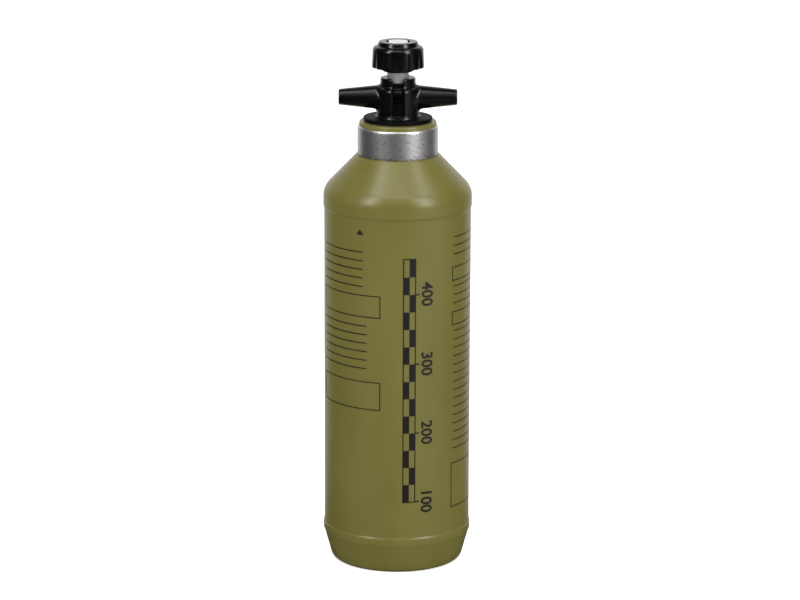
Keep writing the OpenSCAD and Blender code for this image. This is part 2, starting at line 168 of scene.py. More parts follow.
def make_floor():
    material, tree, place = start_material("white_floor")
    path = add(tree, "ShaderNodeLightPath")
    bearing = add(tree, "ShaderNodeVectorMath", {0: place}, operation="NORMALIZE")
    axes = add(tree, "ShaderNodeSeparateXYZ", {0: bearing})
    lit = add(tree, "ShaderNodeBsdfDiffuse", {"Color": linear(FLOOR_WHITE)})
    glow = add(tree, "ShaderNodeEmission", {"Color": linear("#FFFFFF"), "Strength": FLOOR_GLOW})
    seen = add(tree, "ShaderNodeAddShader", {0: lit, 1: glow})
    # Glossy rays see a painted reflection: the table glows dark in front and white behind, and brighter in a
    # painted pool of light by the right box.
    behind = remap(tree, axes.outputs["Y"], *FLOOR_FADE, FLOOR_FRONT, 1.0)
    beside = add(tree, "ShaderNodeMapping", {"Vector": place, "Location": PAINTED_POOL_PLACE, "Scale": PAINTED_POOL_SCALE})
    painted_pool = add(tree, "ShaderNodeTexGradient", {"Vector": beside}, gradient_type="SPHERICAL")
    painted_gloss_glow = calc(tree, "MULTIPLY_ADD", painted_pool.outputs["Fac"], PAINTED_POOL_GLOW, behind)
    painted_reflection = add(tree, "ShaderNodeEmission", {"Color": linear("#FFFFFF"), "Strength": painted_gloss_glow})
    to_eye = add(tree, "ShaderNodeMixShader", {0: path.outputs["Is Camera Ray"], 1: lit, 2: seen})
    mix = add(tree, "ShaderNodeMixShader", {0: path.outputs["Is Glossy Ray"], 1: to_eye, 2: painted_reflection})
    add(tree, "ShaderNodeOutputMaterial", {"Surface": mix})
    mesh = bpy.data.meshes.new("floor")
    h = FLOOR_SIZE / 2
    mesh.from_pydata([(-h, -h, 0), (h, -h, 0), (h, h, 0), (-h, h, 0)], [], [(0, 1, 2, 3)])
    mesh.materials.append(material)
    floor = bpy.data.objects.new("floor", mesh)
    scene.collection.objects.link(floor)


def make_world():
    world = bpy.data.worlds.new("studio")
    world.use_nodes = True
    tree = world.node_tree
    tree.nodes.clear()
    path = add(tree, "ShaderNodeLightPath")
    place = add(tree, "ShaderNodeTexCoord")
    axes = add(tree, "ShaderNodeSeparateXYZ", {0: place.outputs["Generated"]})
    room = remap(tree, axes.outputs["Y"], *ROOM_FADE, ROOM_FRONT, 1.0)
    seen = calc(tree, "MAXIMUM", path.outputs["Is Camera Ray"], path.outputs["Is Transmission Ray"])
    glossy = add(tree, "ShaderNodeMix", {0: path.outputs["Is Glossy Ray"], 2: SKY_LIGHT, 3: room})
    strength = add(tree, "ShaderNodeMix", {0: seen, 2: glossy, 3: 1.0})
    shader = add(tree, "ShaderNodeBackground", {"Color": linear("#FFFFFF"), "Strength": strength})
    add(tree, "ShaderNodeOutputWorld", {"Surface": shader})
    scene.world = world


def make_lamp(name, place, target_z, width, height, power):
    data = bpy.data.lights.new(name, "AREA")
    data.shape = "RECTANGLE"
    data.size = width
    data.size_y = height
    data.energy = power
    lamp = bpy.data.objects.new(name, data)
    scene.collection.objects.link(lamp)
    lamp.location = place
    facing = Vector((0, 0, target_z)) - Vector(place)
    lamp.rotation_euler = facing.to_track_quat("-Z", "Y").to_euler()


make_floor()
make_world()
for lamp_sizes in LAMPS:
    make_lamp(*lamp_sizes)
scene.view_settings.view_transform = "Standard"

# Bottle
# Blow-moulded high-density polyethylene, coloured olive in the mass. The mould leaves a
# recessed panel for print between two bands, a parting line down each side and a pinched
# seam across the pushed-up base. It tapers at the foot so that it drops into a pocket.
PANEL_R = 33.0
BAND_R = 33.4
PANEL_FOOT_Z = 17.6
PANEL_TOP_Z = 163.6
STEP_H = 0.8
FOOT_BAND_Z = 13.6
WALL = 1.4
HEEL_X, HEEL_R = 26.9, 3.2
FOOT_TAPER = 15.0
STAND_IN_R = 23.9
PUSH_UP = 3.4
PUSH_UP_POWER = 2.4
DOME_STEPS = 12
SHOULDER_BEND_Z = 168.6
SHOULDER_BEND_R = 9.0
SHOULDER_SLOPE = 44.0
COLLAR_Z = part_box("neck_collar")[0][2] / MM
NECK_R = 17.3
LEDGE_W = 1.35
LIP_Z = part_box("bottle_body")[1][2] / MM
LIP_ROUND = 0.6
BORE_R = 13.2
BOTTLE_OLIVE = "#65612A"
BOTTLE_DEEP = "#605B26"
BOTTLE_ROUGH = (0.30, 0.37)
LATHE_STEPS = 288
LONGEST_PIECE = 3.0
PARTING_H, PARTING_W = 0.05, 0.35
PARTING_FOOT_Z = 1.5
WAVE_H = 0.035
WAVE_Z = (18, 162)
WAVE_FADE = 6
SHRINK = 0.03


def rounded(corners, step=0.35):
    """An outline through (r, z, radius) corners, each turned into an arc of its radius.

    A radius of 0 keeps the corner sharp. The arc's pieces are about step long."""
    points = []
    count = len(corners)
    for i, (x, y, radius) in enumerate(corners):
        here = np.array((x, y), float)
        if radius == 0:
            points.append(here)
            continue
        before = np.array(corners[i - 1][:2], float) - here
        after = np.array(corners[(i + 1) % count][:2], float) - here
        before /= np.linalg.norm(before)
        after /= np.linalg.norm(after)
        half = math.acos(max(-1.0, min(1.0, float(before @ after)))) / 2
        centre = here + (before + after) / np.linalg.norm(before + after) * radius / math.sin(half)
        reach = radius / math.tan(half)
        first, last = here + before * reach, here + after * reach
        a = math.atan2(*(first - centre)[::-1])
        b = math.atan2(*(last - centre)[::-1])
        turn = (b - a + math.pi) % (2 * math.pi) - math.pi
        pieces = max(3, int(abs(turn) * radius / step))
        arc = [a + turn * k / pieces for k in range(pieces + 1)]
        points += [centre + radius * np.array((math.cos(t), math.sin(t))) for t in arc]
    return points


def spread(points, longest):
    """Puts more points on an outline's long straight stretches."""
    dense = []
    for a, b in zip(points, points[1:] + points[:1]):
        pieces = max(1, math.ceil(np.linalg.norm(b - a) / longest))
        dense += [a + (b - a) * k / pieces for k in range(pieces)]
    return dense


def finish_mesh(name, mesh, material, smooth=True):
    """Links a mesh as an object, shades it smooth up to 35 degrees and gives it its material."""
    mesh.validate()
    if smooth:
        mesh.shade_smooth()
        mesh.set_sharp_from_angle(angle=math.radians(35))
    mesh.materials.clear()
    mesh.materials.append(material)
    piece = bpy.data.objects.new(name, mesh)
    scene.collection.objects.link(piece)
    return piece


def face_out(mesh, merge=False):
    """Turns the fronts of a mesh's faces outward. With merge, it closes the mesh's seams first."""
    work = bmesh.new()
    work.from_mesh(mesh)
    if merge:
        bmesh.ops.remove_doubles(work, verts=work.verts, dist=1e-6)
        bmesh.ops.dissolve_degenerate(work, edges=work.edges, dist=1e-7)
    bmesh.ops.recalc_face_normals(work, faces=work.faces)
    work.to_mesh(mesh)
    work.free()


def lathe(name, outline, material, steps=LATHE_STEPS, shift=None):
    """Turns a closed (r, z) outline round the z axis. shift(r, angle, z) moves r, if given."""
    r = np.array([p[0] for p in outline])
    z = np.array([p[1] for p in outline])
    angles = np.arange(steps) * 2 * math.pi / steps
    radius = np.repeat(r[None, :], steps, 0)
    if shift is not None:
        radius = radius + shift(radius, angles[:, None], z[None, :])
    grid = np.stack([radius * np.cos(angles)[:, None], radius * np.sin(angles)[:, None],
                     np.repeat(z[None, :], steps, 0)], -1)
    n = len(outline)
    a = np.arange(steps)[:, None] * n
    b = (np.arange(steps)[:, None] + 1) % steps * n
    i = np.arange(n)[None, :]
    j = (i + 1) % n
    quads = np.stack([a + i, b + i, b + j, a + j], -1).reshape(-1, 4)
    mesh = bpy.data.meshes.new(name)
    mesh.from_pydata((grid.reshape(-1, 3) * MM).tolist(), [], quads.tolist())
    face_out(mesh, merge=True)
    return finish_mesh(name, mesh, material)


def bottle_outline():
    """The blown wall's section as (r, z, radius) corners: its outside from the middle of the base
    up to the lip, and then its inside back down."""
    slope = math.radians(SHOULDER_SLOPE)
    cone_r = BAND_R - SHOULDER_BEND_R * (1 - math.cos(slope))
    cone_z = SHOULDER_BEND_Z + SHOULDER_BEND_R * math.sin(slope)
    bore_end_z = cone_z + (cone_r - WALL / math.cos(slope) - BORE_R) / math.tan(slope)
    bend = SHOULDER_BEND_R * math.tan(slope / 2)
    heel_end = HEEL_X + HEEL_R * math.tan(math.radians(90 - FOOT_TAPER) / 2)
    dome = [(STAND_IN_R * k / DOME_STEPS, PUSH_UP * (1 - (k / DOME_STEPS) ** PUSH_UP_POWER), 0)
            for k in range(DOME_STEPS + 1)]
    outside = dome + [
        (heel_end, 0, HEEL_R),
        (PANEL_R, FOOT_BAND_Z - 0.5, 0.8), (BAND_R, FOOT_BAND_Z + 0.3, 0.6),
        (BAND_R, PANEL_FOOT_Z - STEP_H, 0.4), (PANEL_R, PANEL_FOOT_Z, 0.4),
        (PANEL_R, PANEL_TOP_Z, 0.4), (BAND_R, PANEL_TOP_Z + STEP_H, 0.4),
        (BAND_R, SHOULDER_BEND_Z + bend, SHOULDER_BEND_R),
        (NECK_R + LEDGE_W, COLLAR_Z, 0.25), (NECK_R, COLLAR_Z, 0.2), (NECK_R, LIP_Z, LIP_ROUND),
        (BORE_R, LIP_Z, 0.3),
    ]
    inside = [
        (BORE_R, bore_end_z, 2.0),
        (PANEL_R - WALL + 0.2, SHOULDER_BEND_Z + bend - 0.6, SHOULDER_BEND_R - WALL),
        (PANEL_R - WALL, PANEL_TOP_Z, 1.0), (PANEL_R - WALL, FOOT_BAND_Z, 2.0),
        (HEEL_X + 1.1, WALL, 1.4), (STAND_IN_R, WALL + 0.3, 1.0), (0, PUSH_UP + WALL, 0),
    ]
    return spread(rounded(outside + inside), LONGEST_PIECE)


def mould_marks(radius, angle, z):
    """Fine parting lines on the sides, and the shrinkage that leaves the panel slightly uneven."""
    side = np.exp(-((np.sin(angle) * radius) / PARTING_W) ** 2) * PARTING_H * (z > PARTING_FOOT_Z)
    wave = WAVE_H * np.sin(3 * angle + z / 17.0) * np.sin(z / 23.0 + 1.0)
    low, high = WAVE_Z
    body = np.clip((z - low) / WAVE_FADE, 0, 1) * np.clip((high - z) / WAVE_FADE, 0, 1)
    outer = radius > PANEL_R - WALL / 2
    return np.where(outer, side * (radius < BAND_R - 0.1) + wave * body - SHRINK * body, 0.0)


def noise(tree, place, scale, detail, roughness=0.5):
    return add(tree, "ShaderNodeTexNoise", {"Vector": place, "Scale": scale, "Detail": detail,
                                            "Roughness": roughness}).outputs["Fac"]


def bump(tree, height, strength, depth, **under):
    """Adds a bump of depth metres, on top of the one that is given as Normal, if any."""
    return add(tree, "ShaderNodeBump", {"Strength": strength, "Distance": depth, "Height": height, **under})


def principled(material, inputs):
    """Ends a material with a principled shader."""
    shader = add(material.node_tree, "ShaderNodeBsdfPrincipled", inputs)
    add(material.node_tree, "ShaderNodeOutputMaterial", {"Surface": shader})
    return material


def bottle_plastic():
    """Polyethylene from a polished mould: semi-gloss, with faint flow marks that soften the
    reflections of the lamps and turn the edges pale where they reflect the white room."""
    material, tree, place = start_material("olive_polyethylene")
    flow = add(tree, "ShaderNodeMapping", {"Vector": place, "Scale": (1.0, 1.0, 0.35)})
    cloud = noise(tree, flow, 45.0, 3.0)
    colour = ramp(tree, cloud, [(0.35, BOTTLE_DEEP), (0.65, BOTTLE_OLIVE)])
    gloss = remap(tree, cloud, 0.3, 0.7, *BOTTLE_ROUGH)
    grain = bump(tree, noise(tree, place, 1400.0, 2.0), 0.12, 0.00004)
    waves = bump(tree, noise(tree, place, 60.0, 1.0), 0.25, 0.0004, Normal=grain)
    return principled(material, {"Base Color": colour, "Roughness": gloss, "IOR": 1.52, "Normal": waves})


olive = bottle_plastic()
bottle = lathe("bottle_shell", bottle_outline(), olive, shift=mould_marks)
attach(bottle, "bottle")
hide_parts("bottle_body")

THREAD_PITCH = 4.0
THREAD_FOOT_W = 1.9
THREAD_CREST_W = 0.9
THREAD_SINK = 0.2
THREAD_STEPS = 96
FADE_TURNS, FADE_END = 0.22, 0.04
NECK_TURNS = 1.6
NECK_RIDGE_H = 0.65
PLUG_RIDGE_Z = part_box("valve_body")[0][2] / MM + 1.4


def start_tree(name, sizes):
    """Starts a Geometry Nodes tree with one named input for each size."""
    tree = bpy.data.node_groups.new(name, "GeometryNodeTree")
    tree.is_modifier = True
    for label, value in sizes.items():
        kind = "NodeSocketInt" if isinstance(value, int) else "NodeSocketFloat"
        tree.interface.new_socket(label, in_out="INPUT", socket_type=kind)
    tree.interface.new_socket("Geometry", in_out="OUTPUT", socket_type="NodeSocketGeometry")
    return tree, tree.nodes.new("NodeGroupInput").outputs


def end_tree(tree, geometry, material):
    whole = add(tree, "GeometryNodeRealizeInstances", {0: geometry})
    dressed = add(tree, "GeometryNodeSetMaterial", {"Geometry": whole, "Material": material})
    add(tree, "NodeGroupOutput", {0: dressed})


def plain_mesh(holder):
    """The mesh that an object comes out as. The object itself is deleted."""
    mesh = bpy.data.meshes.new_from_object(holder.evaluated_get(bpy.context.evaluated_depsgraph_get()))
    bpy.data.objects.remove(holder)
    return mesh


def grow(name, tree, sizes, material):
    """Runs a tree with its sizes set, and turns the result into a plain mesh."""
    holder = bpy.data.objects.new(name + "_holder", bpy.data.meshes.new(name + "_holder"))
    scene.collection.objects.link(holder)
    modifier = holder.modifiers.new(name, "NODES")
    modifier.node_group = tree
    for item in tree.interface.items_tree:
        if item.in_out == "INPUT":
            modifier[item.identifier] = sizes[item.name]
    mesh = plain_mesh(holder)
    mesh.name = name
    face_out(mesh)
    return finish_mesh(name, mesh, material)


def vector(tree, x=0.0, y=0.0, z=0.0):
    return add(tree, "ShaderNodeCombineXYZ", {0: x, 1: y, 2: z})


def thread_ridge(name, radius, height, pitch, turns, start_z, foot_w, crest_w, material):
    """A ridge of trapezoid section along a right-hand helix. It fades out at both ends, and a
    negative height makes it stand inward."""
    sink = math.copysign(THREAD_SINK, height)
    sizes = {"Root radius": radius * MM, "Pitch": pitch * MM, "Turns": turns, "Start height": start_z * MM,
             "Ridge height": height * MM, "Sink": -sink * MM, "Half foot": foot_w / 2 * MM,
             "Half crest": crest_w / 2 * MM}
    tree, size = start_tree(name, sizes)
    rise = calc(tree, "MULTIPLY", size["Turns"], size["Pitch"])
    helix = add(tree, "GeometryNodeCurveSpiral", {
        "Resolution": THREAD_STEPS, "Rotations": size["Turns"], "Start Radius": size["Root radius"],
        "End Radius": size["Root radius"], "Height": rise, "Reverse": True})
    lift = vector(tree, z=size["Start height"])
    placed = add(tree, "GeometryNodeTransform", {"Geometry": helix, "Translation": lift})
    level = add(tree, "GeometryNodeSetCurveNormal", {0: placed}, mode="Z_UP")
    part = add(tree, "GeometryNodeSplineParameter")
    near_end = calc(tree, "PINGPONG", part.outputs["Factor"], 0.5)
    turned_in = calc(tree, "MULTIPLY", near_end, size["Turns"])
    fade = remap(tree, turned_in, 0.0, FADE_TURNS, FADE_END, 1.0)
    corners = {}
    for number, out, half, sign in ((1, "Sink", "Half foot", 1.0), (2, "Ridge height", "Half crest", 1.0),
                                    (3, "Ridge height", "Half crest", -1.0), (4, "Sink", "Half foot", -1.0)):
        corners[f"Point {number}"] = vector(tree, size[out], calc(tree, "MULTIPLY", size[half], sign))
    section = add(tree, "GeometryNodeCurvePrimitiveQuadrilateral", corners, mode="POINTS")
    ridge = add(tree, "GeometryNodeCurveToMesh", {"Curve": level, "Profile Curve": section, "Scale": fade,
                                                  "Fill Caps": True})
    end_tree(tree, ridge, material)
    return grow(name, tree, sizes, material)


neck_thread = thread_ridge("neck_thread", BORE_R, -NECK_RIDGE_H, THREAD_PITCH, NECK_TURNS,
                           PLUG_RIDGE_Z + THREAD_PITCH / 2, THREAD_FOOT_W, THREAD_CREST_W, olive)
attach(neck_thread, "bottle")

PINCH_X = 20.5
PINCH_W = 0.7
PINCH_H = 0.3
PINCH_FADE = 2.0
PINCH_SINK = 0.4
PINCH_CREST = 0.4
PINCH_POINTS = 61


def make_pinch_line():
    """The ridge left across the pushed-up base where the mould's halves pinched the tube shut."""
    along = np.linspace(-PINCH_X, PINCH_X, PINCH_POINTS)
    dome = PUSH_UP * (1 - (abs(along) / STAND_IN_R) ** PUSH_UP_POWER)
    proud = PINCH_H * np.minimum(1, (PINCH_X - abs(along)) / PINCH_FADE) ** 0.5
    half = PINCH_W / 2
    crest = half * PINCH_CREST
    section = [(-half, dome + PINCH_SINK), (half, dome + PINCH_SINK), (half, dome), (crest, dome - proud),
               (-crest, dome - proud), (-half, dome)]
    points = np.stack([np.stack([along, np.full_like(along, y), z], -1) for y, z in section], 1)
    n = len(section)
    faces = [(a * n + i, a * n + (i + 1) % n, (a + 1) * n + (i + 1) % n, (a + 1) * n + i)
             for a in range(len(along) - 1) for i in range(n)]
    faces += [tuple(range(n)), tuple(range(len(along) * n - 1, len(along) * n - n - 1, -1))]
    mesh = bpy.data.meshes.new("pinch_line")
    mesh.from_pydata((points.reshape(-1, 3) * MM).tolist(), [], faces)
    face_out(mesh)
    return finish_mesh("pinch_line", mesh, olive)


pinch_line = make_pinch_line()
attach(pinch_line, "bottle")

# Print on the panel
# Dark ink screen-printed on the flame-treated panel: a bar of 25 ml steps with plain numbers,
# a mark at the highest level, and blank frames and ruled lines for the owner's notes.
INK_R = PANEL_R - 0.045
INK_T = 0.15
SCALE_Z = 34.6
SCALE_STEP = 7.97
SCALE_BLOCKS = 14
STEPS_PER_100 = 4
SCALE_S = 3.0
BLOCK_W = 2.5
SCALE_LINE = 0.45
NUMBER_S = 13.8
NUMBER_SIZE = 7.4
NUMBER_BOLD = 0.14
TICK_S = (0.5, 2.2)
TICK_HALF_H = 0.3
MAX_Z = 156.6
MARK_S = (-19.2, -17.4, -15.6)
MARK_H = 2.6
PRINT_S = (-45, 51)
# Frames are (s, low z, s, high z); ruled lines are (s, s, lowest z, highest z, width), with s
# the distance along the panel from the middle of its front.
FRAMES = [(-44, 119.2, -7.5, 129.4), (-44, 76.8, -7.5, 89.8), (27.5, 134.2, 50, 140.7),
          (27.5, 113.8, 50, 120.1), (27.5, 29.0, 50, 49.9)]
RULED = [(-44, -16, 133.0, 148.6, 0.5), (-44, -14, 93.6, 115.0, 0.5), (28.5, 50, 143.6, 154.0, 0.45),
         (28.5, 50, 123.4, 131.6, 0.4), (28.5, 50, 54.0, 111.0, 0.4)]
RULED_STEP = 3.9


def ink_material():
    """Two-part ink: nearly black, a little warm, and duller than the polyethylene."""
    material, tree, place = start_material("screen_ink")
    colour = ramp(tree, noise(tree, place, 700.0, 2.0), [(0.3, "#120F0B"), (0.7, "#18140F")])
    return principled(material, {"Base Color": colour, "Roughness": 0.46, "IOR": 1.5})


def scale_bar(material):
    """Blocks stepped up the panel, by turns on the bar's left and right half."""
    sizes = {"Blocks": SCALE_BLOCKS, "Step": SCALE_STEP * MM, "First height": (SCALE_Z + SCALE_STEP / 2) * MM,
             "Left edge": SCALE_S * MM, "Block width": BLOCK_W * MM, "Block height": (SCALE_STEP - 0.02) * MM,
             "Ink radius": INK_R * MM, "Ink thickness": INK_T * MM}
    tree, size = start_tree("scale_bar", sizes)
    number = add(tree, "GeometryNodeInputIndex")
    half = calc(tree, "MODULO", number, 2.0)
    middle = calc(tree, "ADD", half, 0.5)
    along = calc(tree, "MULTIPLY_ADD", middle, size["Block width"], size["Left edge"])
    angle = calc(tree, "DIVIDE", along, size["Ink radius"])
    column = add(tree, "GeometryNodeMeshLine", {
        "Count": size["Blocks"], "Start Location": vector(tree, z=size["First height"]),
        "Offset": vector(tree, z=size["Step"])}, mode="OFFSET")
    front = vector(tree, y=calc(tree, "MULTIPLY", size["Ink radius"], -1.0))
    spot = add(tree, "ShaderNodeVectorRotate", {"Vector": front, "Angle": angle}, rotation_type="Z_AXIS")
    points = add(tree, "GeometryNodeSetPosition", {"Geometry": column, "Offset": spot})
    brick = add(tree, "GeometryNodeMeshCube", {
        "Size": vector(tree, size["Block width"], size["Ink thickness"], size["Block height"])})
    turn = add(tree, "FunctionNodeEulerToRotation", {0: vector(tree, z=angle)})
    laid = add(tree, "GeometryNodeInstanceOnPoints", {"Points": points, "Instance": brick, "Rotation": turn})
    end_tree(tree, laid, material)
    return grow("scale_bar", tree, sizes, material)


def flat_shape(flat, corners):
    """Adds one flat face, given as (s, z) corners, to the print before it is wrapped."""
    flat.faces.new([flat.verts.new((s, 0, z)) for s, z in corners])


def flat_bar(flat, s0, z0, s1, z1):
    flat_shape(flat, [(s0, z0), (s1, z0), (s1, z1), (s0, z1)])


def flat_frame(flat, s0, z0, s1, z1, line):
    outer = [flat.verts.new((s, 0, z)) for s, z in ((s0, z0), (s1, z0), (s1, z1), (s0, z1))]
    inner = [flat.verts.new((s, 0, z)) for s, z in ((s0 + line, z0 + line), (s1 - line, z0 + line),
                                                    (s1 - line, z1 - line), (s0 + line, z1 - line))]
    for i in range(4):
        j = (i + 1) % 4
        flat.faces.new((outer[i], outer[j], inner[j], inner[i]))


def flat_number(flat, label, s, z):
    """Adds a number that reads downwards, its middle at (s, z)."""
    curve = bpy.data.curves.new(label, "FONT")
    curve.body = label
    curve.size = NUMBER_SIZE
    curve.resolution_u = 5
    curve.offset = NUMBER_BOLD
    curve.align_x = "CENTER"
    holder = bpy.data.objects.new(label, curve)
    scene.collection.objects.link(holder)
    mesh = plain_mesh(holder)
    middle = (min(v.co.y for v in mesh.vertices) + max(v.co.y for v in mesh.vertices)) / 2
    spots = [flat.verts.new((s + v.co.y - middle, 0, z - v.co.x)) for v in mesh.vertices]
    for face in mesh.polygons:
        flat.faces.new([spots[i] for i in face.vertices])


def wrap_print(name, flat, material):
    """Cuts the flat print into strips, gives it the ink's thickness and bends it round the panel."""
    bmesh.ops.remove_doubles(flat, verts=flat.verts, dist=1e-4)
    for s in range(*PRINT_S):
        bmesh.ops.bisect_plane(flat, geom=flat.verts[:] + flat.edges[:] + flat.faces[:], plane_co=(s, 0, 0),
                               plane_no=(1, 0, 0))
    risen = bmesh.ops.extrude_face_region(flat, geom=flat.faces[:], use_keep_orig=True)
    outer = {v for v in risen["geom"] if isinstance(v, bmesh.types.BMVert)}
    for v in flat.verts:
        radius = INK_R + (INK_T / 2 if v in outer else -INK_T / 2)
        angle = v.co.x / PANEL_R
        v.co = Vector((radius * math.sin(angle), -radius * math.cos(angle), v.co.z)) * MM
    bmesh.ops.recalc_face_normals(flat, faces=flat.faces)
    mesh = bpy.data.meshes.new(name)
    flat.to_mesh(mesh)
    flat.free()
    return finish_mesh(name, mesh, material, smooth=False)


def make_print(material):
    flat = bmesh.new()
    bar_end = SCALE_S + 2 * BLOCK_W
    flat_frame(flat, SCALE_S - SCALE_LINE, SCALE_Z - SCALE_LINE, bar_end + SCALE_LINE,
               SCALE_Z + SCALE_BLOCKS * SCALE_STEP + SCALE_LINE, SCALE_LINE)
    for hundreds in range(1, 5):
        z = SCALE_Z + (hundreds - 1) * STEPS_PER_100 * SCALE_STEP
        flat_bar(flat, bar_end + TICK_S[0], z - TICK_HALF_H, bar_end + TICK_S[1], z + TICK_HALF_H)
        flat_number(flat, str(hundreds * 100), NUMBER_S, z)
    low_s, peak_s, high_s = MARK_S
    flat_shape(flat, [(low_s, MAX_Z), (high_s, MAX_Z), (peak_s, MAX_Z + MARK_H)])
    for corners in FRAMES:
        flat_frame(flat, *corners, SCALE_LINE)
    for s0, s1, z0, z1, width in RULED:
        for z in np.arange(z1, z0 - 0.1, -RULED_STEP):
            flat_bar(flat, s0, z, s1, z + width)
    return wrap_print("panel_print", flat, material)


ink = ink_material()
for layer in (scale_bar(ink), make_print(ink)):
    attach(layer, "bottle")

# Neck collar
# A band of thin drawn aluminium pushed over the neck against the shoulder's ledge. It is
# stained and lightly scuffed, and its upper edge is turned in and catches the light.
COLLAR_R = 18.05
COLLAR_T = 0.7
COLLAR_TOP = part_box("neck_collar")[1][2] / MM
EDGE_H = 1.2
CREST_IN = 0.02
COLLAR_ROUGH = (0.44, 0.36)
# How much darker the band's colour gets towards its foot, and over how many millimetres above it.
FOOT_DARKENING, FOOT_DARKENING_H = 0.17, 3


def collar_metal():
    material, tree, place = start_material("drawn_aluminium")
    axes = add(tree, "ShaderNodeSeparateXYZ", {0: place})
    stain = noise(tree, place, 800.0, 6.0, 0.7)
    speck = noise(tree, place, 2200.0, 3.0, 0.6)
    # The colour darkens towards the band's foot, over its lowest 3 mm.
    foot = remap(tree, axes.outputs["Z"], COLLAR_Z * MM, (COLLAR_Z + FOOT_DARKENING_H) * MM, FOOT_DARKENING, 0.0)
    both = calc(tree, "ADD", calc(tree, "SUBTRACT", stain, foot), speck)
    colour = ramp(tree, both, [(0.66, "#83817E"), (0.92, "#CFCDCC"), (1.12, "#E4E3E2")])
    rough = remap(tree, both, 0.8, 1.15, *COLLAR_ROUGH)
    dents = bump(tree, stain, 0.3, 0.00006)
    return principled(material, {"Base Color": colour, "Metallic": 1.0, "Roughness": rough, "Normal": dents})


def collar_outline():
    """The band's section, its upper edge a quarter of an ellipse."""
    inner_r, reach = COLLAR_R - COLLAR_T + CREST_IN, COLLAR_T - CREST_IN
    edge = [np.array((inner_r + reach * math.cos(a), COLLAR_TOP - EDGE_H + EDGE_H * math.sin(a)))
            for a in np.linspace(0, math.pi / 2, 10)]
    foot = rounded([(COLLAR_R - COLLAR_T, COLLAR_TOP, 0), (COLLAR_R - COLLAR_T, COLLAR_Z, 0),
                    (COLLAR_R, COLLAR_Z, 0.2), (COLLAR_R, COLLAR_TOP, 0)], step=0.1)
    return spread(edge + foot[:-1], 1.0)


collar = lathe("neck_band", collar_outline(), collar_metal(), steps=192)
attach(collar, "bottle")
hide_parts("neck_collar")

# Seals
# The flange gasket, the ring round the rod and the disc on the head are moulded in a
# fuel-proof rubber: matt, nearly black, with a faint bloom.


def seal_rubber():
    material, tree, place = start_material("nitrile_rubber")
    colour = ramp(tree, noise(tree, place, 500.0, 3.0), [(0.4, "#161616"), (0.7, "#232323")])
    return principled(material, {"Base Color": colour, "Roughness": 0.62, "IOR": 1.52})


def dress(node_name, material):
    """Gives a CAD node that keeps its shape the material of the real piece."""
    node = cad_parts[node_name]
    node.data.materials.clear()
    node.data.materials.append(material)


rubber = seal_rubber()
for name in ("flange_gasket", "guide_seal", "head_seal"):
    dress(name, rubber)

# Valve body
# One injection moulding in glass-filled nylon: threaded plug, flange, column with a groove
# front and back, guide neck, and two hollow arms. Every edge has the small radius of its
# mould, so it is built as a solid field that blends its forms, and then skinned.
VALVE_CELL = 0.26
GRID_MARGIN = 1
PLUG_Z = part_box("valve_body")[0][2] / MM
PLUG_R = 12.2
PLUG_WALL = 1.7
PLUG_RIDGE_H = 0.7
PLUG_TURNS = 2.2
FLANGE_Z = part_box("flange_gasket")[1][2] / MM
FLANGE_TOP = FLANGE_Z + 1.4
FLANGE_R = 15.5
BEAD_R = 10.1
SILL_Z = FLANGE_TOP + 0.9
COLUMN_R = 9.55
COLUMN_TOP = FLANGE_TOP + 13.6
COLUMN_ROUND = 1.6
GUIDE_R = 7.85
GUIDE_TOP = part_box("valve_body")[1][2] / MM
GUIDE_FILLET = 1.1
STEM_BORE_R = 4.85
BORE_FLOOR_Z = FLANGE_Z - 1.5
GLAND_R, GLAND_H = 3.67, 1.7
ROD_BORE_R = 2.05
ARM_Z = FLANGE_TOP + 8.8
ARM_TIP_X = 26.5
ARM_TIP_R = 3.5
ARM_ROOT_R = 5.3
ARM_BORE_R = 2.2
ARM_FILLET = 1.5
ARM_TIP_ROUND = 0.6
ARM_BORE_X = 6.5
GROOVE_W = 5.8
GROOVE_R = 6.45
WINDOW_W = 4.8
WINDOW_Z = GUIDE_TOP - 10.8
CHANNEL_R = (5.95, 8.15)
CHANNEL_WEB = 4.1
CHANNEL_TOP = ARM_Z + ARM_BORE_R + 0.6
PLUG_CHANNEL_R = (4.45, PLUG_R - PLUG_WALL)
PLUG_WEB = 1.2
CHANNEL_HALF_H = 9.5
PLUG_CHANNEL_ROOF = 1
BORE_EASE, CHANNEL_EASE, GROOVE_EASE = 0.25, 0.15, 0.3
GROOVE_ROUND = 0.2
# How far cutters and turned sections reach past the face or the axis that they cross.
PAST = 5
FAR_Y = 20
NYLON_SHINE = 0.42
DULL_ROUGH, DULL_SHINE = 0.55, 0.08


def grid_round(x, y, z0, z1, cell):
    """Sample points round a piece that reaches x, y and z0 to z1: the low corner and three arrays."""
    low = (-x - GRID_MARGIN, -y - GRID_MARGIN, z0 - GRID_MARGIN)
    high = (x + GRID_MARGIN, y + GRID_MARGIN, z1 + GRID_MARGIN)
    axes = [np.arange(a, b + cell, cell) for a, b in zip(low, high)]
    return low, np.meshgrid(*axes, indexing="ij")


def disc(p, radius, z0, z1, edge=0.0):
    """Distance to an upright cylinder with rounded edges."""
    q = np.stack([np.hypot(p[0], p[1]) - radius + edge, abs(p[2] - (z0 + z1) / 2) - (z1 - z0) / 2 + edge])
    return np.minimum(q.max(0), 0) + np.hypot(*np.maximum(q, 0)) - edge


def block(p, low, high, edge=0.0):
    """Distance to a box with rounded edges."""
    q = np.stack([abs(x - (a + b) / 2) - (b - a) / 2 + edge for x, a, b in zip(p, low, high)])
    return np.minimum(q.max(0), 0) + np.sqrt((np.maximum(q, 0) ** 2).sum(0)) - edge


